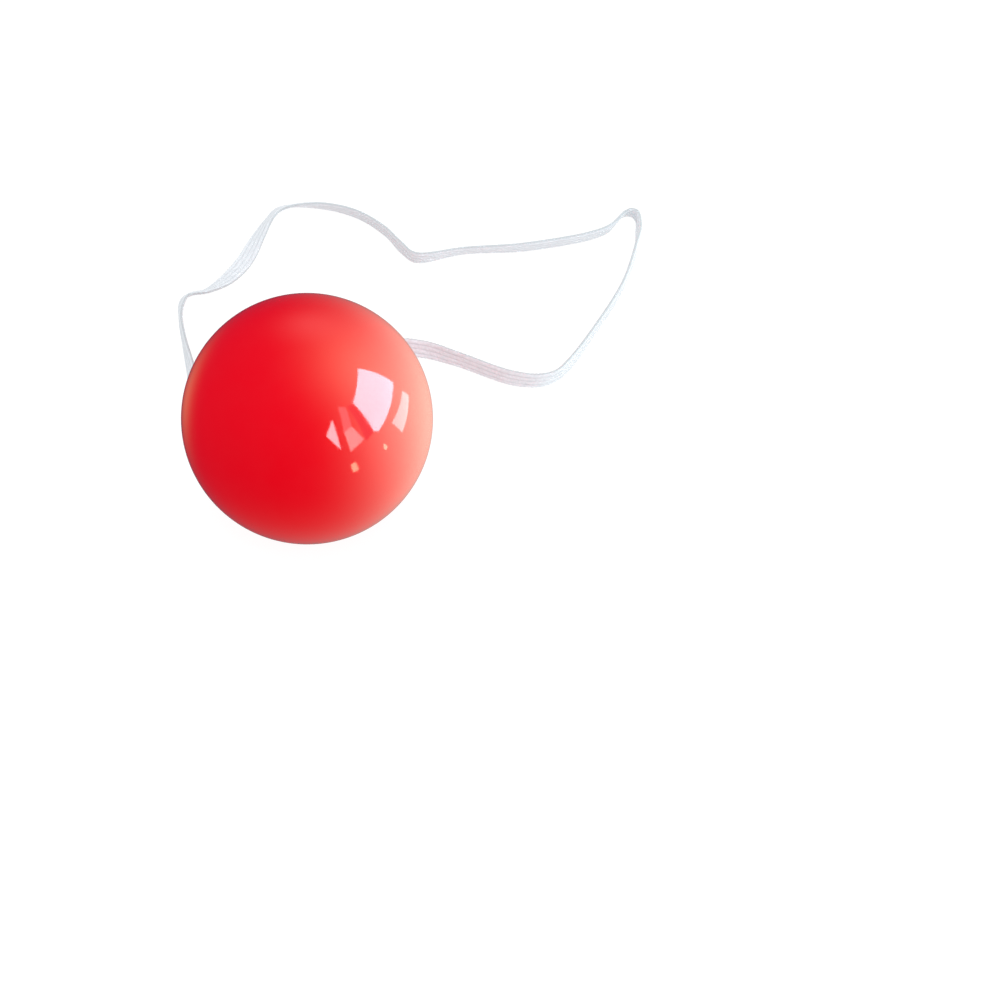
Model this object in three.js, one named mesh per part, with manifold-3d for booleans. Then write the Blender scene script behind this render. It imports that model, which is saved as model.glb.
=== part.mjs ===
// Clown nose: a hollow ball of thin red plastic, open at the back, with a loop of flat white elastic.
// Millimetres, +Z up. The nose stands on the rim of its opening, and the origin is the middle of that rim.
// The elastic goes through a hole on each side, is knotted inside, and lies on the ground behind the ball.
import * as THREE from "three";
import { mergeVertices } from "three/addons/utils/BufferGeometryUtils.js";
import Module from "manifold-3d";

const wasm = await Module();
wasm.setup();

// Sizes of the ball
const BALL_RADIUS = 25;
const WALL = 1.2;
const RIM_RADIUS = 16;
const RIM_ROUNDING = 0.25;
const HOLE_RADIUS = 1.7;
const HOLE_HEIGHT = 5;

// Sizes of the elastic, with shares of a section: its cut corners, and its thickness where it is gathered
const ELASTIC_WIDTH = 4;
const ELASTIC_THICKNESS = 0.8;
const CORNER_SHARE = 0.25;
const GATHERED_FLATNESS = 0.64;

// Sizes of a knot, with the short end of elastic that is rooted in it and sticks out
const KNOT_RADIUS = 2.7;
const KNOT_FLATNESS = 0.9;
const KNOT_WRAP_THICKNESS = 0.8;
const KNOT_WRAP_TILT = 35;
const KNOT_TAIL_LENGTH = 5;
const KNOT_TAIL_ROOT = 0.4;
const KNOT_TAIL_DROOP = 8;
const KNOT_TAIL_TURN = 30;

// Gaps between pieces that touch, and between the elastic and the ground
const CLEARANCE = 0.35;
const GROUND_GAP = 0.05;

// Smoothness
const ROUND_STEPS = 72;
const OUTSIDE_STEPS = 28;
const INSIDE_STEPS = 22;
const ROUNDING_STEPS = 3;
const HOLE_STEPS = 24;
const KNOT_STEPS = 14;
const KNOT_WRAP_STEPS = 7;
const STEPS_PER_ROW = 2;
const TANGENT_STEP = 1e-3;
const MERGE_DISTANCE = 1e-4;

// What follows from the sizes
const BALL_HEIGHT = Math.sqrt(BALL_RADIUS ** 2 - RIM_RADIUS ** 2);
const INNER_RADIUS = BALL_RADIUS - WALL;
const BELOW_CENTRE = BALL_HEIGHT - HOLE_HEIGHT;
const WALL_OUTSIDE = Math.sqrt(BALL_RADIUS ** 2 - BELOW_CENTRE ** 2);
const KNOT_CENTRE = Math.sqrt((INNER_RADIUS - CLEARANCE - KNOT_RADIUS) ** 2 - BELOW_CENTRE ** 2);
const ELASTIC_START = KNOT_CENTRE + KNOT_RADIUS + CLEARANCE;
const GATHERED_CORNER = Math.hypot(1, GATHERED_FLATNESS * (1 - CORNER_SHARE));
const GATHERED_WIDTH = (2 * (HOLE_RADIUS - CLEARANCE)) / GATHERED_CORNER;
const GATHERED_THICKNESS = GATHERED_WIDTH * GATHERED_FLATNESS;

// The elastic from the left hole to the right one: where its middle is on the ground, the lean of its width
// from upright, in degrees, and how far it is gathered, from 0 to 1.
const ROUTE = [
  { x: -22.9, y: 3.5, lean: 0, gathered: 0.8 },
  { x: -23.2, y: 9, lean: -4, gathered: 0.3 },
  { x: -23.2, y: 27.3, lean: -24, gathered: 0 },
  { x: -24.5, y: 38.3, lean: -7, gathered: 0 },
  { x: -25, y: 45.2, lean: -8, gathered: 0 },
  { x: -24, y: 50.6, lean: -35, gathered: 0 },
  { x: -22.4, y: 51.8, lean: -44, gathered: 0 },
  { x: -19.2, y: 52.4, lean: -50, gathered: 0 },
  { x: -15, y: 55.8, lean: -75, gathered: 0 },
  { x: -10.8, y: 61.3, lean: -84, gathered: 0 },
  { x: -7.4, y: 67.7, lean: -62, gathered: 0 },
  { x: -4.7, y: 72.3, lean: -43, gathered: 0 },
  { x: -2, y: 75.2, lean: -49, gathered: 0 },
  { x: 6.2, y: 74.9, lean: -28, gathered: 0 },
  { x: 14, y: 71.6, lean: -17, gathered: 0 },
  { x: 19.9, y: 65.9, lean: -9, gathered: 0 },
  { x: 23.2, y: 60.5, lean: -2, gathered: 0 },
  { x: 26, y: 57.3, lean: -9, gathered: 0 },
  { x: 36.6, y: 58.3, lean: -24, gathered: 0 },
  { x: 50.7, y: 58.1, lean: -18, gathered: 0 },
  { x: 67.7, y: 61.2, lean: -19, gathered: 0 },
  { x: 72.2, y: 65.7, lean: -27, gathered: 0 },
  { x: 73.8, y: 65.9, lean: -18, gathered: 0 },
  { x: 75, y: 64.8, lean: 0, gathered: 0 },
  { x: 74.9, y: 60.7, lean: 13, gathered: 0 },
  { x: 73.5, y: 55.1, lean: 3, gathered: 0 },
  { x: 69.2, y: 44.4, lean: 7, gathered: 0 },
  { x: 61, y: 31.4, lean: 7, gathered: 0 },
  { x: 55.2, y: 23.5, lean: 2, gathered: 0 },
  { x: 52.3, y: 20.9, lean: 4, gathered: 0 },
  { x: 48.7, y: 20, lean: -3, gathered: 0 },
  { x: 43, y: 21.3, lean: -11, gathered: 0 },
  { x: 32.2, y: 27.6, lean: -13, gathered: 0 },
  { x: 25.5, y: 31, lean: -29, gathered: 0 },
  { x: 20.4, y: 31.9, lean: -26, gathered: 0 },
  { x: 17.8, y: 28.6, lean: -10, gathered: 0 },
  { x: 18.6, y: 19, lean: 0, gathered: 0.1 },
  { x: 23, y: 5.5, lean: 0, gathered: 0.7 },
];

const red = new THREE.MeshStandardMaterial({ color: "#df1421", roughness: 0.12, metalness: 0 });
const white = new THREE.MeshStandardMaterial({ color: "#f1f3f6", roughness: 0.85, metalness: 0 });

// A closed solid from a geometry, with the vertices of its seams joined.
function solidFrom(geometry) {
  const bare = new THREE.BufferGeometry();
  bare.setAttribute("position", geometry.getAttribute("position"));
  bare.setIndex(geometry.getIndex());
  const merged = mergeVertices(bare, MERGE_DISTANCE);
  const corners = merged.getIndex().array;
  const kept = [];
  for (let i = 0; i < corners.length; i += 3) {
    const [a, b, c] = corners.subarray(i, i + 3);
    if (a !== b && b !== c && c !== a) kept.push(a, b, c);
  }
  return new wasm.Manifold(
    new wasm.Mesh({
      numProp: 3,
      vertProperties: merged.getAttribute("position").array,
      triVerts: new Uint32Array(kept),
    }),
  );
}

function geometryFrom(solid) {
  const mesh = solid.getMesh();
  const geometry = new THREE.BufferGeometry();
  geometry.setAttribute("position", new THREE.BufferAttribute(mesh.vertProperties, 3));
  geometry.setIndex(new THREE.BufferAttribute(mesh.triVerts, 1));
  geometry.computeVertexNormals();
  return geometry;
}

function namedMesh(name, geometry, material) {
  const mesh = new THREE.Mesh(geometry, material);
  mesh.name = name;
  return mesh;
}

// Points on an arc in the plane of a profile, from one angle to another.
function arcPoints(centre, radius, from, to, steps) {
  const points = [];
  for (let i = 0; i <= steps; i += 1) {
    const angle = THREE.MathUtils.lerp(from, to, i / steps);
    points.push(
      new THREE.Vector2(centre.x + radius * Math.cos(angle), centre.y + radius * Math.sin(angle)),
    );
  }
  return points;
}

// Half of the ball's section: up the inside, and down the outside to the rounded rim that it stands on.
function shellProfile() {
  const ball = new THREE.Vector2(0, BALL_HEIGHT);
  const drop = BALL_HEIGHT - RIM_ROUNDING;
  const outerReach = BALL_RADIUS - RIM_ROUNDING;
  const innerReach = INNER_RADIUS + RIM_ROUNDING;
  const outerEdge = new THREE.Vector2(Math.sqrt(outerReach ** 2 - drop ** 2), RIM_ROUNDING);
  const innerEdge = new THREE.Vector2(Math.sqrt(innerReach ** 2 - drop ** 2), RIM_ROUNDING);
  const outerAngle = -Math.asin(drop / outerReach);
  const innerAngle = -Math.asin(drop / innerReach);
  const top = Math.PI / 2;
  const down = -Math.PI / 2;
  const profile = [
    ...arcPoints(outerEdge, RIM_ROUNDING, down, outerAngle, ROUNDING_STEPS),
    ...arcPoints(ball, BALL_RADIUS, outerAngle, top, OUTSIDE_STEPS).slice(1),
    ...arcPoints(ball, INNER_RADIUS, top, innerAngle, INSIDE_STEPS),
    ...arcPoints(innerEdge, RIM_ROUNDING, innerAngle - Math.PI, down, ROUNDING_STEPS).slice(1),
  ];
  return [...profile, profile[0].clone()];
}

// The ball, with a round hole for the elastic on each side.
function noseShell() {
  const ball = new THREE.LatheGeometry(shellProfile(), ROUND_STEPS);
  ball.rotateX(Math.PI / 2);
  const drill = new THREE.CylinderGeometry(HOLE_RADIUS, HOLE_RADIUS, 2 * BALL_RADIUS + WALL, HOLE_STEPS);
  drill.rotateZ(Math.PI / 2);
  drill.translate(0, 0, HOLE_HEIGHT);
  return namedMesh("nose_shell", geometryFrom(solidFrom(ball).subtract(solidFrom(drill))), red);
}

// A section of the elastic with its corners cut, one unit wide and thick.
function elasticSection() {
  const side = 1 / 2;
  const flat = side * (1 - CORNER_SHARE);
  return new THREE.Shape([
    new THREE.Vector2(side, -flat),
    new THREE.Vector2(side, flat),
    new THREE.Vector2(flat, side),
    new THREE.Vector2(-flat, side),
    new THREE.Vector2(-side, flat),
    new THREE.Vector2(-side, -flat),
    new THREE.Vector2(-flat, -side),
    new THREE.Vector2(flat, -side),
  ]);
}

// How high the middle of the elastic is when it rests on the ground.
function restingHeight(lean, width, thickness) {
  const upright = Math.abs(Math.cos(lean)) * width;
  const lying = Math.abs(Math.sin(lean)) * thickness;
  return GROUND_GAP + (upright + lying) / 2;
}

// Every row of the elastic's route: out of one knot, through its hole, along the ground and back.
function wholeRoute() {
  const inHole = { y: 0, lean: 0, gathered: 1 };
  const outside = WALL_OUTSIDE + HOLE_RADIUS / 2;
  return [
    { ...inHole, x: -ELASTIC_START },
    { ...inHole, x: -outside },
    ...ROUTE,
    { ...inHole, x: outside },
    { ...inHole, x: ELASTIC_START },
  ];
}

// Smooth curves through the rows: the route seen from above, and the lean and gathering along it.
const route = wholeRoute();
const plan = new THREE.CatmullRomCurve3(
  route.map(({ x, y }) => new THREE.Vector3(x, y, 0)),
  false,
  "centripetal",
);
const turning = new THREE.CatmullRomCurve3(
  route.map(({ lean, gathered }) => new THREE.Vector3(lean, gathered, 0)),
  false,
  "catmullrom",
);

// The elastic's section at a share of its route: its middle, lean, width and thickness.
function sectionAt(share) {
  const along = THREE.MathUtils.clamp(share, 0, 1);
  const turn = turning.getPoint(along);
  const gathered = THREE.MathUtils.clamp(turn.y, 0, 1);
  const width = THREE.MathUtils.lerp(ELASTIC_WIDTH, GATHERED_WIDTH, gathered);
  const thickness = THREE.MathUtils.lerp(ELASTIC_THICKNESS, GATHERED_THICKNESS, gathered);
  const lean = THREE.MathUtils.degToRad(turn.x);
  const middle = plan.getPoint(along);
  middle.z = THREE.MathUtils.lerp(restingHeight(lean, width, thickness), HOLE_HEIGHT, gathered ** 2);
  return { middle, lean, width, thickness };
}

// The elastic: a straight strip whose every section is carried to its place on the route and turned there.
function elasticBand() {
  const strip = new THREE.ExtrudeGeometry(elasticSection(), {
    depth: 1,
    steps: (route.length - 1) * STEPS_PER_ROW,
    bevelEnabled: false,
  });
  const vertices = strip.getAttribute("position");
  const up = new THREE.Vector3(0, 0, 1);
  for (let i = 0; i < vertices.count; i += 1) {
    const share = vertices.getZ(i);
    const { middle, lean, width, thickness } = sectionAt(share);
    const before = sectionAt(share - TANGENT_STEP).middle;
    const tangent = sectionAt(share + TANGENT_STEP).middle.sub(before).normalize();
    const across = up.clone().cross(tangent).normalize();
    across.applyAxisAngle(tangent, Math.PI / 2 - lean);
    const through = tangent.clone().cross(across);
    middle.addScaledVector(across, vertices.getX(i) * width);
    middle.addScaledVector(through, vertices.getY(i) * thickness);
    vertices.setXYZ(i, middle.x, middle.y, middle.z);
  }
  return namedMesh("elastic_band", geometryFrom(solidFrom(strip)), white);
}

// A knot lump with one wrap round it and a short tail, at the right-hand hole.
function knotSolid() {
  const lump = new THREE.SphereGeometry(KNOT_RADIUS, KNOT_STEPS, KNOT_STEPS);
  lump.scale(1, 1, KNOT_FLATNESS);
  const wrapRadius = KNOT_RADIUS - KNOT_WRAP_THICKNESS;
  const wrap = new THREE.TorusGeometry(wrapRadius, KNOT_WRAP_THICKNESS, KNOT_WRAP_STEPS, KNOT_STEPS);
  wrap.rotateY(Math.PI / 2 - THREE.MathUtils.degToRad(KNOT_WRAP_TILT));
  const tail = new THREE.BoxGeometry(ELASTIC_THICKNESS, KNOT_TAIL_LENGTH, ELASTIC_WIDTH);
  tail.translate(0, KNOT_RADIUS - KNOT_TAIL_ROOT + KNOT_TAIL_LENGTH / 2, 0);
  tail.rotateX(THREE.MathUtils.degToRad(-KNOT_TAIL_DROOP));
  tail.rotateZ(THREE.MathUtils.degToRad(KNOT_TAIL_TURN));
  return solidFrom(lump).add(solidFrom(wrap)).add(solidFrom(tail));
}

function elasticKnot(name, turn) {
  const knot = namedMesh(name, geometryFrom(knotSolid()), white);
  knot.position.set(KNOT_CENTRE * Math.cos(turn), 0, HOLE_HEIGHT);
  knot.rotation.z = turn;
  return knot;
}

const clownNose = new THREE.Group();
clownNose.name = "clown_nose";
clownNose.add(noseShell());
clownNose.add(elasticBand());
clownNose.add(elasticKnot("elastic_knot_left", Math.PI));
clownNose.add(elasticKnot("elastic_knot_right", 0));

export default clownNose;
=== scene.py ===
"""The looks of a clown nose: a glossy red plastic ball and its loop of flat white braided elastic."""
import math

import bpy
import numpy as np
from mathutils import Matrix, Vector


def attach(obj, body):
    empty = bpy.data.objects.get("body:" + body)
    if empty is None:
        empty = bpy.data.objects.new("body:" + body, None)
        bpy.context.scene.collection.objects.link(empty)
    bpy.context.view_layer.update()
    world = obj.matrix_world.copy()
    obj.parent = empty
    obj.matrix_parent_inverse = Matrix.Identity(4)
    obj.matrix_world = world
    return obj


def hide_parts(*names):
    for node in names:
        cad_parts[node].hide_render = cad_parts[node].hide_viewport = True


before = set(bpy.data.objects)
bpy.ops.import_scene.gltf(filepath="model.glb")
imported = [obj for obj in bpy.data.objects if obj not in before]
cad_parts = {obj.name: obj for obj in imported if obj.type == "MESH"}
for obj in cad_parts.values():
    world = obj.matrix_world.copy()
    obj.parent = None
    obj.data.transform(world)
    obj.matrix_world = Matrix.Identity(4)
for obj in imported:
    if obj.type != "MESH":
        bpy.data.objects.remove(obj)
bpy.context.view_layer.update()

MM = 0.001
BODY = "root"

# Sizes of the ball, in metres
BALL_RADIUS = 25 * MM
WALL = 1.2 * MM
RIM_RADIUS = 16 * MM
RIM_ROUNDING = 0.25 * MM
HOLE_RADIUS = 1.7 * MM
HOLE_HEIGHT = 5 * MM

# Sizes of the elastic and its knots, in metres
ELASTIC_WIDTH = 4 * MM
ELASTIC_THICKNESS = 0.8 * MM
GATHERED_WIDTH = 2.43 * MM
GATHERED_THICKNESS = 1.56 * MM
KNOT_RADIUS = 2.7 * MM
KNOT_TAIL_LENGTH = 5 * MM
CLEARANCE = 0.35 * MM
GROUND_GAP = 0.05 * MM

# What follows from the sizes
BALL_HEIGHT = math.sqrt(BALL_RADIUS**2 - RIM_RADIUS**2)
INNER_RADIUS = BALL_RADIUS - WALL
BELOW_CENTRE = BALL_HEIGHT - HOLE_HEIGHT
WALL_OUTSIDE = math.sqrt(BALL_RADIUS**2 - BELOW_CENTRE**2)
KNOT_CENTRE = math.sqrt((INNER_RADIUS - CLEARANCE - KNOT_RADIUS) ** 2 - BELOW_CENTRE**2)
ELASTIC_START = KNOT_CENTRE + KNOT_RADIUS + CLEARANCE

# The elastic from the left hole to the right one, in millimetres: where its middle is on the ground,
# the lean of its width from upright, in degrees, and how far it is gathered, from 0 to 1
ROUTE = [
    (-22.9, 3.5, 0, 0.8),
    (-23.2, 9, -4, 0.3),
    (-23.2, 27.3, -24, 0),
    (-24.5, 38.3, -7, 0),
    (-25, 45.2, -8, 0),
    (-24, 50.6, -35, 0),
    (-22.4, 51.8, -44, 0),
    (-19.2, 52.4, -50, 0),
    (-15, 55.8, -75, 0),
    (-10.8, 61.3, -84, 0),
    (-7.4, 67.7, -62, 0),
    (-4.7, 72.3, -43, 0),
    (-2, 75.2, -49, 0),
    (6.2, 74.9, -28, 0),
    (14, 71.6, -17, 0),
    (19.9, 65.9, -9, 0),
    (23.2, 60.5, -2, 0),
    (26, 57.3, -9, 0),
    (36.6, 58.3, -24, 0),
    (50.7, 58.1, -18, 0),
    (67.7, 61.2, -19, 0),
    (72.2, 65.7, -27, 0),
    (73.8, 65.9, -18, 0),
    (75, 64.8, 0, 0),
    (74.9, 60.7, 13, 0),
    (73.5, 55.1, 3, 0),
    (69.2, 44.4, 7, 0),
    (61, 31.4, 7, 0),
    (55.2, 23.5, 2, 0),
    (52.3, 20.9, 4, 0),
    (48.7, 20, -3, 0),
    (43, 21.3, -11, 0),
    (32.2, 27.6, -13, 0),
    (25.5, 31, -29, 0),
    (20.4, 31.9, -26, 0),
    (17.8, 28.6, -10, 0),
    (18.6, 19, 0, 0.1),
    (23, 5.5, 0, 0.7),
]

# Camera: the photograph's viewing angle, with the middle of the ball where the photograph has it
IMAGE_WIDTH = 1002
BALL_PIXEL = (307.3, 418.8)
BALL_PIXEL_RADIUS = 125.5
VIEW_DISTANCE = 0.6
VIEW_ELEVATION = math.radians(50)
SENSOR_WIDTH = 36

# Fineness of the meshes
ROUND_STEPS = 160
OUTSIDE_STEPS = 84
INSIDE_STEPS = 76
ROUNDING_STEPS = 5
DRILL_STEPS = 64
RING_SPACING = 0.17 * MM
SIDE_STEPS = 26
EDGE_CROWDING = 0.3
STEPS_PER_SPAN = 60
TANGENT_STEP = 1e-3
TINY = 1e-9

# The weave of the elastic: lengthwise ribs with a fine plait along each one, a little uneven
RIBS = 4
RIB_DEPTH = 0.1 * MM
PLAIT_PITCH = 0.8 * MM
PLAIT_DEPTH = 0.045 * MM
PLAIT_SLANT = 0.9
SCALLOP = 0.05 * MM
UNEVEN_WAVES = (7.3 * MM, 4.1 * MM, 2.3 * MM)
UNEVENNESS = 0.2
EDGE_POWER = 9


# Small helpers for points on smooth curves

def padded_ends(points):
    """The points with one more at each end, in line with the last two."""
    return np.vstack([2 * points[0] - points[1], points, 2 * points[-1] - points[-2]])


def uniform_slopes(four):
    return (four[2] - four[0]) / 2, (four[3] - four[1]) / 2


def centripetal_slopes(four):
    gaps = [max(np.linalg.norm(four[i + 1] - four[i]), TINY) ** 0.5 for i in range(3)]
    steps = [(four[i + 1] - four[i]) / gaps[i] for i in range(3)]
    first = steps[0] - (four[2] - four[0]) / (gaps[0] + gaps[1]) + steps[1]
    second = steps[1] - (four[3] - four[1]) / (gaps[1] + gaps[2]) + steps[2]
    return first * gaps[1], second * gaps[1]


def curve_point(padded, slopes, share):
    """The point at a share of a smooth curve through the rows, each span having an equal share."""
    spans = len(padded) - 3
    place = min(max(share, 0.0), 1.0) * spans
    span = min(int(place), spans - 1)
    t = place - span
    four = padded[span : span + 4]
    first, second = slopes(four)
    change = four[2] - four[1]
    bend = 3 * change - 2 * first - second
    turn = first + second - 2 * change
    return four[1] + first * t + bend * t**2 + turn * t**3


def even_shares(points_at, spacing, spans):
    """Shares of a curve that are evenly spaced along its length, with the length up to each."""
    shares = np.linspace(0, 1, spans * STEPS_PER_SPAN + 1)
    points = np.array([points_at(share) for share in shares])
    lengths = np.linalg.norm(np.diff(points, axis=0), axis=1)
    run = np.concatenate([[0], np.cumsum(lengths)])
    even = np.linspace(0, run[-1], int(run[-1] / spacing) + 1)
    return np.interp(even, run, shares), even


# The elastic's route

def whole_route():
    """Every row of the route in metres and radians: out of one knot, through its hole and back."""
    outside = WALL_OUTSIDE + HOLE_RADIUS / 2
    rows = [(x * MM, y * MM, math.radians(lean), gathered) for x, y, lean, gathered in ROUTE]
    start = [(-ELASTIC_START, 0, 0, 1), (-outside, 0, 0, 1)]
    end = [(outside, 0, 0, 1), (ELASTIC_START, 0, 0, 1)]
    return np.array(start + rows + end, dtype=float)


rows = whole_route()
plan = padded_ends(rows[:, :2] / MM)
turning = padded_ends(rows[:, 2:])


def section_at(share):
    """The elastic's middle, lean, width and thickness at a share of its route."""
    lean, gathered = curve_point(turning, uniform_slopes, share)
    gathered = min(max(gathered, 0.0), 1.0)
    width = ELASTIC_WIDTH + (GATHERED_WIDTH - ELASTIC_WIDTH) * gathered
    thickness = ELASTIC_THICKNESS + (GATHERED_THICKNESS - ELASTIC_THICKNESS) * gathered
    tall = abs(math.cos(lean)) * width + abs(math.sin(lean)) * thickness
    resting = GROUND_GAP + tall / 2
    height = resting + (HOLE_HEIGHT - resting) * gathered**2
    x, y = curve_point(plan, centripetal_slopes, share) * MM
    return np.array([x, y, height]), lean, width, thickness


def unit(vector):
    return vector / np.linalg.norm(vector)


def elastic_sections():
    """Rings along the elastic: middle, width direction, thickness direction, width, thickness, length."""
    shares, run = even_shares(lambda share: section_at(share)[0], RING_SPACING, len(rows) - 1)
    sections = []
    for share, length in zip(shares, run):
        middle, lean, width, thickness = section_at(share)
        ahead = section_at(share + TANGENT_STEP)[0]
        behind = section_at(share - TANGENT_STEP)[0]
        tangent = unit(ahead - behind)
        aside = unit(np.cross((0, 0, 1), tangent))
        angle = math.pi / 2 - lean
        across = aside * math.cos(angle) + np.cross(tangent, aside) * math.sin(angle)
        through = np.cross(tangent, across)
        sections.append((middle, across, through, width, thickness, length))
    return sections


# A woven strip as a closed mesh

def section_places():
    """Where each point of a section is across the strip, from -1 to 1, and which face it is on."""
    even = np.linspace(-1, 1, SIDE_STEPS + 1)
    places = even * (1 + EDGE_CROWDING) - EDGE_CROWDING * even**3
    top = [(place, 1) for place in places]
    bottom = [(place, -1) for place in places[-2:0:-1]]
    return np.array(top + bottom)


def uneven(length, start):
    """A number near 1 that wanders along the elastic."""
    waves = [math.sin(2 * math.pi * length / wave + start * i) for i, wave in enumerate(UNEVEN_WAVES, 1)]
    return 1 + UNEVENNESS * sum(waves)


def weave_relief(places, length):
    """How far the ribs and their plait are sunk below the strip's face."""
    rib = (places + 1) / 2 * RIBS
    groove = (0.5 + 0.5 * np.cos(2 * math.pi * rib)) ** 2 * uneven(length, 1)
    from_middle = np.abs(rib - np.floor(rib) - 0.5)
    phase = length / PLAIT_PITCH + PLAIT_SLANT * from_middle + np.floor(rib) / 2
    plait = (0.5 - 0.5 * np.cos(2 * math.pi * phase)) * uneven(length, 2)
    return RIB_DEPTH * groove + PLAIT_DEPTH * plait * np.clip(1 - groove, 0, 1)


def strip_mesh(name, sections):
    """A closed strip of woven elastic through the sections, with its length and width as UVs in metres."""
    places = section_places()
    across_share, side = places[:, 0], places[:, 1]
    crown = np.sqrt(np.clip(1 - np.abs(across_share) ** EDGE_POWER, 0, 1))
    count = len(places)
    points = np.zeros((len(sections), count, 3))
    for i, (middle, across, through, width, thickness, length) in enumerate(sections):
        scallop = SCALLOP * math.cos(2 * math.pi * length / PLAIT_PITCH) * np.abs(across_share) ** EDGE_POWER
        reach = across_share * (width / 2 - SCALLOP + scallop)
        height = side * crown * (thickness / 2 - weave_relief(across_share, length))
        points[i] = middle + np.outer(reach, across) + np.outer(height, through)
    faces = []
    for i in range(len(sections) - 1):
        for j in range(count):
            k = (j + 1) % count
            faces.append((i * count + j, i * count + k, (i + 1) * count + k, (i + 1) * count + j))
    last = (len(sections) - 1) * count
    faces.append(tuple(range(count - 1, -1, -1)))
    faces.append(tuple(last + j for j in range(count)))
    mesh = bpy.data.meshes.new(name)
    mesh.from_pydata(points.reshape(-1, 3).tolist(), [], faces)
    lengths = np.array([section[5] for section in sections])
    uv = mesh.uv_layers.new(name="UVMap")
    corner = np.zeros(len(mesh.loops), dtype=np.int32)
    mesh.loops.foreach_get("vertex_index", corner)
    u = lengths[corner // count]
    v = across_share[corner % count] * ELASTIC_WIDTH / 2
    uv.data.foreach_set("uv", np.column_stack([u, v]).ravel())
    mesh.shade_smooth()
    mesh.validate()
    return new_object(name, mesh)


def new_object(name, mesh):
    piece = bpy.data.objects.new(name, mesh)
    bpy.context.scene.collection.objects.link(piece)
    return piece


# The camera

def make_camera():
    """A camera whose picture has the ball's middle at its pixel, with no lens shift."""
    data = bpy.data.cameras.new("camera")
    focal_pixels = BALL_PIXEL_RADIUS / math.tan(math.asin(BALL_RADIUS / VIEW_DISTANCE))
    data.sensor_width = SENSOR_WIDTH
    data.lens = focal_pixels * SENSOR_WIDTH / IMAGE_WIDTH
    camera = bpy.data.objects.new("camera", data)
    bpy.context.scene.collection.objects.link(camera)
    ball = Vector((0, 0, BALL_HEIGHT))
    back = Vector((0, -math.cos(VIEW_ELEVATION), math.sin(VIEW_ELEVATION)))
    camera.location = ball + back * VIEW_DISTANCE
    side = BALL_PIXEL[0] - IMAGE_WIDTH / 2
    rise = IMAGE_WIDTH / 2 - BALL_PIXEL[1]
    a, b, g = Vector((side, rise, focal_pixels)).normalized()
    tilt = math.asin(-back.z / math.hypot(b, g)) + math.atan2(g, b)
    forward = b * math.cos(tilt) + g * math.sin(tilt)
    yaw = math.atan2(-back.y, -back.x) - math.atan2(forward, a)
    camera.rotation_euler = (tilt, 0, yaw)
    bpy.context.scene.camera = camera


make_camera()
sections = elastic_sections()
elastic = strip_mesh("elastic", sections)


# The knots

KNOT_STRAND = (1.75 * MM, 1.5 * MM)
KNOT_LOOPS = (0.72 * MM, 0.62 * MM, 0.105 * MM)
KNOT_LOOP_MIDDLE = -2
KNOT_END = 1.92
KNOT_TURNS = 16
KNOT_TAIL_TURN = math.radians(30)
KNOT_TAIL_DROOP = math.radians(8)
FLATTENED = 3
KNOT_TAIL_SHARES = (0.15, 0.6, 1)


def knot_route():
    """The middle of a strand that is tied in an overhand knot, from the hole to the tip of its tail."""
    outward = KNOT_RADIUS + CLEARANCE
    points = [(outward + CLEARANCE, 0, 0), (outward - CLEARANCE, 0, 0)]
    for i in range(KNOT_TURNS + 1):
        t = KNOT_END * (2 * i / KNOT_TURNS - 1)
        x = -KNOT_LOOPS[0] * (t**3 - 3 * t)
        y = KNOT_LOOPS[1] * (t**4 - 4 * t**2 - KNOT_LOOP_MIDDLE)
        z = -KNOT_LOOPS[2] * (t**5 - 10 * t)
        points.append((x, y, z))
    flat = math.cos(KNOT_TAIL_DROOP)
    tail = np.array([
        -math.sin(KNOT_TAIL_TURN) * flat,
        math.cos(KNOT_TAIL_TURN) * flat,
        -math.sin(KNOT_TAIL_DROOP),
    ])
    for share in KNOT_TAIL_SHARES:
        points.append(tail * (KNOT_RADIUS + KNOT_TAIL_LENGTH * share - CLEARANCE))
    return np.array(points)


def knot_sections(mirrored):
    """Rings along a knotted strand, gathered in the knot and flat at its tail."""
    padded = padded_ends(knot_route() / MM)

    def point_at(share):
        return curve_point(padded, centripetal_slopes, share) * MM

    shares, run = even_shares(point_at, RING_SPACING, len(padded) - 3)
    points = np.array([point_at(share) for share in shares])
    tangents = np.gradient(points, axis=0)
    across = np.array([0.0, 0.0, 1.0])
    frames = []
    for tangent in tangents:
        along = unit(tangent)
        across = unit(across - along * np.dot(across, along))
        frames.append((along, across))
    along, across = frames[-1]
    upright = unit(np.array([0, 0, 1.0]) - along * along[2])
    short = math.atan2(np.dot(np.cross(across, upright), along), np.dot(across, upright))
    turn = -1 if mirrored else 1
    sections = []
    for point, (along, across), length in zip(points, frames, run):
        share = length / run[-1]
        angle = short * share
        width_way = across * math.cos(angle) + np.cross(along, across) * math.sin(angle)
        depth_way = np.cross(along, width_way)
        flatness = min(max((length - run[-1]) / KNOT_TAIL_LENGTH + 1, 0), 1) ** (1 / FLATTENED)
        width = KNOT_STRAND[0] + (ELASTIC_WIDTH - KNOT_STRAND[0]) * flatness
        thickness = KNOT_STRAND[1] + (ELASTIC_THICKNESS - KNOT_STRAND[1]) * flatness
        spin = np.array([turn, turn, 1.0])
        middle = point * spin + np.array([KNOT_CENTRE * turn, 0, HOLE_HEIGHT])
        sections.append((middle, width_way * spin, depth_way * spin, width, thickness, length))
    return sections


knots = []
for side, mirrored in (("left", True), ("right", False)):
    knot = strip_mesh("knot_" + side, knot_sections(mirrored))
    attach(knot, BODY)
    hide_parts("elastic_knot_" + side)
    knots.append(knot)

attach(elastic, BODY)
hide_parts("elastic_band")


# The ball

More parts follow.
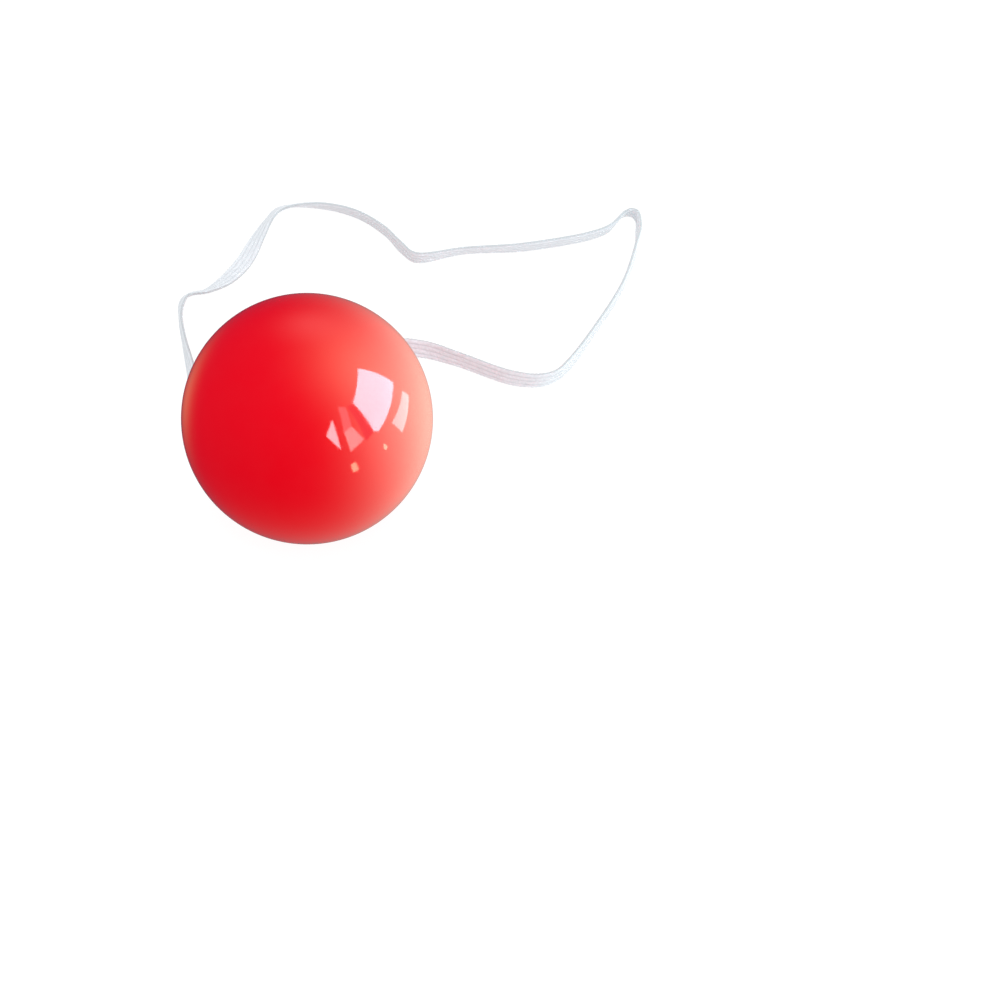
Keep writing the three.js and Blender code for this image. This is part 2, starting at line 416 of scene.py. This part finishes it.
def arc(middle, radius, start, end, steps):
    """Points on an arc in the plane of a profile, as distances from the axis and heights."""
    angles = np.linspace(start, end, steps + 1)
    return [(middle[0] + radius * math.cos(a), middle[1] + radius * math.sin(a)) for a in angles]


def rim_edges():
    """The middles and outer angles of the rim's two rounded edges."""
    drop = BALL_HEIGHT - RIM_ROUNDING
    outer = BALL_RADIUS - RIM_ROUNDING
    inner = INNER_RADIUS + RIM_ROUNDING
    outer_edge = (math.sqrt(outer**2 - drop**2), RIM_ROUNDING)
    inner_edge = (math.sqrt(inner**2 - drop**2), RIM_ROUNDING)
    return outer_edge, inner_edge, -math.asin(drop / outer), -math.asin(drop / inner)


def ball_profile():
    """Half of the ball's section, from the rim up the outside and down the inside."""
    outer_edge, inner_edge, outer_angle, inner_angle = rim_edges()
    down = -math.pi / 2
    top = math.pi / 2
    ball = (0, BALL_HEIGHT)
    return [
        *arc(outer_edge, RIM_ROUNDING, down, outer_angle, ROUNDING_STEPS),
        *arc(ball, BALL_RADIUS, outer_angle, top, OUTSIDE_STEPS)[1:],
        *arc(ball, INNER_RADIUS, top, inner_angle, INSIDE_STEPS),
        *arc(inner_edge, RIM_ROUNDING, inner_angle - math.pi, down, ROUNDING_STEPS)[1:],
    ]


def turned_mesh(name, profile, steps):
    """A closed mesh that is the profile turned about the upright axis."""
    points = []
    starts = []
    for reach, height in profile:
        starts.append(len(points))
        if reach < TINY:
            points.append((0, 0, height))
            continue
        for i in range(steps):
            angle = 2 * math.pi * i / steps
            points.append((reach * math.cos(angle), reach * math.sin(angle), height))
    faces = []
    for i in range(len(profile)):
        k = (i + 1) % len(profile)
        poles = (profile[i][0] < TINY, profile[k][0] < TINY)
        if all(poles):
            continue
        for j in range(steps):
            n = (j + 1) % steps
            low = [starts[i]] if poles[0] else [starts[i] + j, starts[i] + n]
            high = [starts[k]] if poles[1] else [starts[k] + n, starts[k] + j]
            faces.append(tuple(low + high))
    mesh = bpy.data.meshes.new(name)
    mesh.from_pydata(points, [], faces)
    mesh.validate()
    return mesh


def drill_mesh():
    """A bar along the X axis that cuts both holes."""
    reach = BALL_RADIUS + WALL
    points = []
    for x in (-reach, reach):
        for i in range(DRILL_STEPS):
            angle = 2 * math.pi * i / DRILL_STEPS
            y = HOLE_RADIUS * math.cos(angle)
            z = HOLE_HEIGHT + HOLE_RADIUS * math.sin(angle)
            points.append((x, y, z))
    faces = [tuple(range(DRILL_STEPS - 1, -1, -1)), tuple(range(DRILL_STEPS, 2 * DRILL_STEPS))]
    for i in range(DRILL_STEPS):
        k = (i + 1) % DRILL_STEPS
        faces.append((i, k, DRILL_STEPS + k, DRILL_STEPS + i))
    mesh = bpy.data.meshes.new("drill")
    mesh.from_pydata(points, [], faces)
    return mesh


# How near a hole or the rim's rounding its faces are, how little a hole's faces point along it, and
# how low the faces on the ground are
NEAR = 1.001
ALONG_HOLE = 0.1
ON_GROUND = 1e-7


def surface_normal(point, kind):
    """The true direction of the ball's surface at a point on one of its parts."""
    x, y, z = point
    if kind == "hole":
        return Vector((0, -y, HOLE_HEIGHT - z)).normalized()
    if kind == "outside":
        return Vector((x, y, z - BALL_HEIGHT)).normalized()
    if kind == "inside":
        return Vector((-x, -y, BALL_HEIGHT - z)).normalized()
    if kind == "under":
        return Vector((0, 0, -1))
    outer_edge, inner_edge, _, _ = rim_edges()
    reach = math.hypot(x, y)
    edge = outer_edge if kind == "outer edge" else inner_edge
    aside = reach - edge[0]
    return Vector((x / reach * aside, y / reach * aside, z - edge[1])).normalized()


def face_kind(centre, normal):
    """Which part of the ball a face belongs to."""
    outer_edge, inner_edge, _, _ = rim_edges()
    reach = math.hypot(centre.x, centre.y)
    from_drill = math.hypot(centre.y, centre.z - HOLE_HEIGHT)
    if from_drill < HOLE_RADIUS * NEAR and abs(normal.x) < ALONG_HOLE:
        return "hole"
    if centre.z < RIM_ROUNDING * NEAR:
        if centre.z < ON_GROUND:
            return "under"
        return "outer edge" if reach > outer_edge[0] else "inner edge"
    away = (centre - Vector((0, 0, BALL_HEIGHT))).length
    return "outside" if away > BALL_RADIUS - WALL / 2 else "inside"


def true_normals(mesh):
    """Gives each face corner the direction of the smooth surface that it stands for."""
    normals = [Vector((0, 0, 1))] * len(mesh.loops)
    for face in mesh.polygons:
        kind = face_kind(face.center, face.normal)
        for loop in face.loop_indices:
            point = mesh.vertices[mesh.loops[loop].vertex_index].co
            normals[loop] = surface_normal(point, kind)
    mesh.shade_smooth()
    mesh.normals_split_custom_set(normals)


def make_ball():
    """The hollow ball with a hole on each side."""
    ball = new_object("ball", turned_mesh("ball", ball_profile(), ROUND_STEPS))
    drill = new_object("drill", drill_mesh())
    cut = ball.modifiers.new("holes", "BOOLEAN")
    cut.operation = "DIFFERENCE"
    cut.solver = "EXACT"
    cut.object = drill
    made = ball.evaluated_get(bpy.context.evaluated_depsgraph_get())
    mesh = bpy.data.meshes.new_from_object(made)
    ball.modifiers.clear()
    ball.data = mesh
    bpy.data.objects.remove(drill)
    true_normals(mesh)
    return ball


ball = make_ball()
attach(ball, BODY)
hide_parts("nose_shell")


# Materials

def new_material(name):
    """A material with its nodes, its links and its shader."""
    material = bpy.data.materials.new(name)
    material.use_nodes = True
    nodes = material.node_tree.nodes
    return material, nodes, material.node_tree.links, nodes["Principled BSDF"]


def noise(nodes, links, place, scale, detail, rough):
    made = nodes.new("ShaderNodeTexNoise")
    made.inputs["Scale"].default_value = scale
    made.inputs["Detail"].default_value = detail
    made.inputs["Roughness"].default_value = rough
    links.new(place, made.inputs["Vector"])
    return made.outputs["Fac"]


def spread(nodes, links, value, low, high, start=0.0, end=1.0):
    """Maps a value onto a range."""
    made = nodes.new("ShaderNodeMapRange")
    links.new(value, made.inputs["Value"])
    made.inputs["From Min"].default_value = start
    made.inputs["From Max"].default_value = end
    made.inputs["To Min"].default_value = low
    made.inputs["To Max"].default_value = high
    return made.outputs["Result"]


def colour_blend(nodes, links, share, first, second):
    made = nodes.new("ShaderNodeMix")
    made.data_type = "RGBA"
    links.new(share, made.inputs["Factor"])
    made.inputs["A"].default_value = (*first, 1)
    made.inputs["B"].default_value = (*second, 1)
    return made.outputs["Result"]


def math_node(nodes, links, kind, *values):
    made = nodes.new("ShaderNodeMath")
    made.operation = kind
    for i, value in enumerate(values):
        if isinstance(value, (int, float)):
            made.inputs[i].default_value = value
        else:
            links.new(value, made.inputs[i])
    return made.outputs["Value"]


def vector_node(nodes, links, kind, first, second=None):
    """Vector arithmetic on a link and, for most kinds, a second link or a fixed vector."""
    made = nodes.new("ShaderNodeVectorMath")
    made.operation = kind
    links.new(first, made.inputs[0])
    if isinstance(second, (tuple, Vector)):
        made.inputs[1].default_value = second
    elif second is not None:
        links.new(second, made.inputs[1])
    return made


def bump(nodes, links, height, strength, distance):
    made = nodes.new("ShaderNodeBump")
    made.inputs["Strength"].default_value = strength
    made.inputs["Distance"].default_value = distance
    links.new(height, made.inputs["Height"])
    return made.outputs["Normal"]


# The red plastic: its two reds, its roughness where the haze is least and most, how deep its waves are,
# and the scale, detail and roughness of each noise
RED = (0.78, 0.0024, 0.0115)
DEEP_RED = (0.75, 0.0021, 0.0105)
RED_GLOSS = (0.05, 0.1)
CLOUD_NOISE = (60, 3, 0.5)
HAZE_NOISE = (240, 5, 0.6)
HAZE_RANGE = (0.35, 0.7)
WAVE_NOISE = (45, 1, 0.5)
WAVE_STRENGTH = 0.15
WAVE_DEPTH = 1 * MM
PLASTIC_IOR = 1.59


def red_plastic():
    """Hard glossy plastic with faint waves from its mould and a faint haze of handling."""
    material, nodes, links, shader = new_material("red_plastic")
    place = nodes.new("ShaderNodeTexCoord").outputs["Object"]
    cloud = noise(nodes, links, place, *CLOUD_NOISE)
    links.new(colour_blend(nodes, links, cloud, RED, DEEP_RED), shader.inputs["Base Color"])
    haze = noise(nodes, links, place, *HAZE_NOISE)
    links.new(spread(nodes, links, haze, *RED_GLOSS, *HAZE_RANGE), shader.inputs["Roughness"])
    waves = noise(nodes, links, place, *WAVE_NOISE)
    links.new(bump(nodes, links, waves, WAVE_STRENGTH, WAVE_DEPTH), shader.inputs["Normal"])
    shader.inputs["IOR"].default_value = PLASTIC_IOR
    return material


# The white elastic: its whites and the painted shade of its narrow sides, its threads, its flecks and where
# its narrow sides begin, and how much the threads, the painted shade in its grooves and the flecks darken it
WHITE = (0.82, 0.88, 0.94)
SHADED_WHITE = (0.60, 0.65, 0.71)
PAINTED_EDGE_SHADE = (0.56, 0.62, 0.66)
THREAD_PITCH = 0.16 * MM
THREAD_SHADE = 0.1
THREAD_STRENGTH = 0.5
THREAD_DEPTH = 0.03 * MM
GROOVE_POWER = 3
GROOVE_PAINTED_SHADE = 0.6
FLECK_LENGTHS = (0.5, 1)
FLECK_NOISE = (1600, 3, 0.6)
FLECK_RANGE = (0.38, 0.68)
FLECK_SHADE = 0.35
NARROW_SIDE_SHADE = (0.9, 0.98)
ELASTIC_ROUGHNESS = (0.75, 0.95)
SHEEN_WEIGHT = 0.25
SHEEN_ROUGHNESS = 0.5
ELASTIC_SPECULAR = 0.3


def white_elastic():
    """White braided elastic: slanting threads, flecks, and painted shade in the grooves and on the narrow
    sides.
    """
    material, nodes, links, shader = new_material("white_elastic")
    uv = nodes.new("ShaderNodeUVMap")
    uv.uv_map = "UVMap"
    split = nodes.new("ShaderNodeSeparateXYZ")
    links.new(uv.outputs["UV"], split.inputs["Vector"])
    along, across = split.outputs["X"], split.outputs["Y"]
    rib = math_node(nodes, links, "MULTIPLY", across, RIBS / ELASTIC_WIDTH)
    inside_rib = math_node(nodes, links, "FRACT", rib)
    from_middle = math_node(nodes, links, "ABSOLUTE", math_node(nodes, links, "SUBTRACT", inside_rib, 0.5))
    slant = math_node(nodes, links, "MULTIPLY", from_middle, ELASTIC_WIDTH / RIBS * PLAIT_SLANT)
    run = math_node(nodes, links, "ADD", along, slant)
    turns = math_node(nodes, links, "MULTIPLY", run, 2 * math.pi / THREAD_PITCH)
    wave = math_node(nodes, links, "SINE", turns)
    thread = math_node(nodes, links, "MULTIPLY_ADD", wave, 0.5, 0.5)
    # The grooves between the ribs are darkened: painted shade.
    to_groove = math_node(nodes, links, "MULTIPLY", from_middle, 2)
    groove = math_node(nodes, links, "POWER", to_groove, GROOVE_POWER)
    longer = vector_node(nodes, links, "MULTIPLY", uv.outputs["UV"], (*FLECK_LENGTHS, 1))
    soft = noise(nodes, links, longer.outputs["Vector"], *FLECK_NOISE)
    fleck = spread(nodes, links, soft, 0, 1, *FLECK_RANGE)
    shade = math_node(nodes, links, "MULTIPLY_ADD", thread, -THREAD_SHADE, THREAD_SHADE)
    shade = math_node(nodes, links, "MULTIPLY_ADD", groove, GROOVE_PAINTED_SHADE, shade)
    shade = math_node(nodes, links, "MULTIPLY_ADD", fleck, FLECK_SHADE, shade)
    # The narrow sides are darkened towards the edge colour: painted shade.
    woven_with_edge_shade = nodes.new("ShaderNodeMix")
    woven_with_edge_shade.data_type = "RGBA"
    aside = math_node(nodes, links, "ABSOLUTE", across)
    reach = math_node(nodes, links, "DIVIDE", aside, ELASTIC_WIDTH / 2)
    links.new(spread(nodes, links, reach, 0, 1, *NARROW_SIDE_SHADE), woven_with_edge_shade.inputs["Factor"])
    links.new(colour_blend(nodes, links, shade, WHITE, SHADED_WHITE), woven_with_edge_shade.inputs["A"])
    woven_with_edge_shade.inputs["B"].default_value = (*PAINTED_EDGE_SHADE, 1)
    links.new(woven_with_edge_shade.outputs["Result"], shader.inputs["Base Color"])
    links.new(spread(nodes, links, soft, *ELASTIC_ROUGHNESS), shader.inputs["Roughness"])
    links.new(bump(nodes, links, thread, THREAD_STRENGTH, THREAD_DEPTH), shader.inputs["Normal"])
    shader.inputs["Sheen Weight"].default_value = SHEEN_WEIGHT
    shader.inputs["Sheen Roughness"].default_value = SHEEN_ROUGHNESS
    shader.inputs["Specular IOR Level"].default_value = ELASTIC_SPECULAR
    return material


ball.data.materials.append(red_plastic())
fabric = white_elastic()
for piece in (elastic, *knots):
    piece.data.materials.append(fabric)


# Floor and light

FLOOR_SIZE = 8
FLOOR_COLOUR = (0.15, 0.15, 0.15)
FLOOR_ROUGHNESS = 0.9
FLOOR_GLOW = 0.92
FLOOR_SHADE_RADII = (14.2 * MM, 15.5 * MM)
WORLD_COLOUR = (1, 0.98, 0.96)
WORLD_STRENGTH = 0.95

# A wide tent round everything. The outside of the ball mirrors only the tent and its window panes
TENT_RADIUS = 110 * MM
TENT_SEGMENTS = 96
TENT_RINGS = 48

# Soft glows on the tent: azimuth from +Y towards +X and elevation in degrees, how far past its own
# half each one reaches, how fast it falls off, and its brightness in each colour
GLOWS = [
    (88, -1, 0.57, 4.4, (5.05, 4.4, 3.38)),
    (9, 46, 0, 20.3, (0.62, 0.54, 0.48)),
    (-215, -70, 0, 3.5, (0.35, 0.3, 0.26)),
    (-50, -23, 0.9, 48.6, (0.47, 0.41, 0.19)),
    (82, 53, 0.9, 12.5, (1.64, 1.42, 0.87)),
    (-28, 8, 0.55, 0.6, (0.04, 0.034, 0.088)),
]

# Window panes just inside the tent, the wall between two of them and two small painted glints: the azimuth
# and elevation in which the camera sees each corner mirrored, then the brightness and colour
PANES = [
    ([(73, 42.4), (73, 8.6), (114, 7.3), (118, 11), (116, 41.2)], 13.2, (0.98, 1.0, 1.14)),
    ([(73, -1.7), (71, -9.5), (78, -11), (95, -13.6), (100, 0.8)], 10.5, (1.0, 0.95, 0.9)),
    ([(149, 43), (152, 15), (161.5, 31.4)], 9.4, (1.0, 1.0, 1.08)),
    ([(143.5, 27.7), (134, 28.2), (129.6, 12.3), (144.5, 9.6)], 5.5, (1.0, 1.0, 0.95)),
    ([(134, 49), (126.4, 44.3), (133.7, 28.2), (143.5, 27.7)], 2.7, (1.0, 0.95, 0.9)),
    ([(125, 43.7), (117, 40.9), (118.5, 10.4), (128.2, 9.8)], 1, (1.0, 0.85, 0.85)),
    ([(147.6, -2), (143, -1), (141.4, -9.7), (146.3, -10.3)], 8.6, (1.0, 0.85, 0.55)),
    ([(114.4, -4.2), (111.8, -9.4), (114.6, -11), (116.2, -7.3)], 11, (1.0, 0.85, 0.6)),
]
PANE_RADIUS = 105 * MM
PANE_EDGE_STEPS = 8
MIRROR_TRIES = 4

# Soft lights: azimuth, elevation, size, power in watts and colour
LIGHTS = [
    (0, 85, 1.2, 4.6, (1, 1, 1)),
    (122, 20, 1.2, 7, (0.9, 1, 1.03)),
]
LIGHT_DISTANCE = 1.5


def direction(azimuth, elevation):
    azimuth, elevation = math.radians(azimuth), math.radians(elevation)
    flat = math.cos(elevation)
    return Vector((math.sin(azimuth) * flat, math.cos(azimuth) * flat, math.sin(elevation)))


def seen_only_mirrored(piece):
    """Hides a piece of the studio from everything but mirrored rays."""
    piece.visible_camera = False
    piece.visible_glossy = True
    piece.visible_diffuse = False
    piece.visible_transmission = False
    piece.visible_volume_scatter = False
    piece.visible_shadow = False


def glowing_material(name, colour, strength):
    material = bpy.data.materials.new(name)
    material.use_nodes = True
    nodes, links = material.node_tree.nodes, material.node_tree.links
    nodes.clear()
    glow = nodes.new("ShaderNodeEmission")
    glow.inputs["Color"].default_value = (*colour, 1)
    glow.inputs["Strength"].default_value = strength
    out = nodes.new("ShaderNodeOutputMaterial")
    links.new(glow.outputs["Emission"], out.inputs["Surface"])
    material.cycles.emission_sampling = "NONE"
    return material, nodes, links, glow


def make_floor():
    """A pale floor that glows evenly, but not inside the ball, where it is painted shade, and is clear from
    below.
    """
    mesh = bpy.data.meshes.new("floor")
    half = FLOOR_SIZE / 2
    corners = [(-half, -half, 0), (half, -half, 0), (half, half, 0), (-half, half, 0)]
    mesh.from_pydata(corners, [], [(0, 1, 2, 3)])
    floor = new_object("floor", mesh)
    material, nodes, links, shader = new_material("floor")
    shader.inputs["Base Color"].default_value = (*FLOOR_COLOUR, 1)
    shader.inputs["Roughness"].default_value = FLOOR_ROUGHNESS
    shader.inputs["Specular IOR Level"].default_value = 0
    shader.inputs["Emission Color"].default_value = (1, 1, 1, 1)
    geometry = nodes.new("ShaderNodeNewGeometry")
    away = vector_node(nodes, links, "LENGTH", geometry.outputs["Position"]).outputs["Value"]
    # The glow fades out inside the ball's rim: painted shade under the ball.
    shine = spread(nodes, links, away, 0, FLOOR_GLOW, *FLOOR_SHADE_RADII)
    links.new(shine, shader.inputs["Emission Strength"])
    sides = nodes.new("ShaderNodeMixShader")
    links.new(geometry.outputs["Backfacing"], sides.inputs["Fac"])
    links.new(shader.outputs["BSDF"], sides.inputs[1])
    links.new(nodes.new("ShaderNodeBsdfTransparent").outputs["BSDF"], sides.inputs[2])
    links.new(sides.outputs["Shader"], nodes["Material Output"].inputs["Surface"])
    mesh.materials.append(material)
    floor.visible_glossy = False
    floor.visible_diffuse = False


def make_tent():
    """A dark tent with soft glows on its inside."""
    angles = [math.pi * i / TENT_RINGS - math.pi / 2 for i in range(TENT_RINGS + 1)]
    profile = [(TENT_RADIUS * abs(math.cos(a)), BALL_HEIGHT + TENT_RADIUS * math.sin(a)) for a in angles]
    tent = new_object("tent", turned_mesh("tent", profile, TENT_SEGMENTS))
    material, nodes, links, glow = glowing_material("tent", (0, 0, 0), 1)
    geometry = nodes.new("ShaderNodeNewGeometry")
    middle = Vector((0, 0, BALL_HEIGHT))
    from_ball = vector_node(nodes, links, "SUBTRACT", geometry.outputs["Position"], middle)
    straight = vector_node(nodes, links, "NORMALIZE", from_ball.outputs["Vector"]).outputs["Vector"]
    total = None
    for azimuth, elevation, reach, power, colour in GLOWS:
        toward = vector_node(nodes, links, "DOT_PRODUCT", straight, direction(azimuth, elevation))
        near = spread(nodes, links, toward.outputs["Value"], 0, 1, -reach, 1)
        shaped = math_node(nodes, links, "POWER", near, power)
        part = vector_node(nodes, links, "MULTIPLY", shaped, colour).outputs["Vector"]
        total = part if total is None else vector_node(nodes, links, "ADD", total, part).outputs["Vector"]
    links.new(total, glow.inputs["Color"])
    links.new(geometry.outputs["Backfacing"], glow.inputs["Strength"])
    tent.data.materials.append(material)
    seen_only_mirrored(tent)


def place_by_tent(away):
    """The place just inside the tent that the camera sees mirrored in the ball in a direction."""
    middle = Vector((0, 0, BALL_HEIGHT))
    to_camera = Vector((0, -math.cos(VIEW_ELEVATION), math.sin(VIEW_ELEVATION)))
    camera = middle + to_camera * VIEW_DISTANCE
    for _ in range(MIRROR_TRIES):
        normal = (away + to_camera).normalized()
        point = middle + normal * BALL_RADIUS
        to_camera = (camera - point).normalized()
    facing = normal.dot(away) * BALL_RADIUS
    return point + away * (math.sqrt(facing**2 + PANE_RADIUS**2 - BALL_RADIUS**2) - facing)


def make_panes():
    for i, (corners, strength, colour) in enumerate(PANES):
        points = []
        for k, corner in enumerate(corners):
            start = direction(*corner)
            end = direction(*corners[(k + 1) % len(corners)])
            for step in range(PANE_EDGE_STEPS):
                points.append(place_by_tent(start.lerp(end, step / PANE_EDGE_STEPS).normalized()))
        mesh = bpy.data.meshes.new("pane")
        mesh.from_pydata(points, [], [tuple(range(len(points)))])
        pane = new_object("pane_%d" % i, mesh)
        mesh.materials.append(glowing_material("pane_%d" % i, colour, strength)[0])
        seen_only_mirrored(pane)


def make_world():
    world = bpy.data.worlds.new("world")
    bpy.context.scene.world = world
    world.use_nodes = True
    background = world.node_tree.nodes["Background"]
    background.inputs["Color"].default_value = (*WORLD_COLOUR, 1)
    background.inputs["Strength"].default_value = WORLD_STRENGTH
    world.cycles_visibility.glossy = False


def make_lights():
    """Square soft lights that shine at the middle of the rim and aren't mirrored."""
    for i, (azimuth, elevation, size, power, colour) in enumerate(LIGHTS):
        data = bpy.data.lights.new("light_%d" % i, "AREA")
        data.size = size
        data.energy = power
        data.color = colour
        light = bpy.data.objects.new("light_%d" % i, data)
        bpy.context.scene.collection.objects.link(light)
        light.location = direction(azimuth, elevation) * LIGHT_DISTANCE
        light.rotation_euler = (-light.location).to_track_quat("-Z", "Y").to_euler()
        light.visible_glossy = False
        light.visible_camera = False


make_floor()
make_tent()
make_panes()
make_world()
make_lights()
elastic.visible_glossy = False

bpy.context.scene.view_settings.view_transform = "Standard"
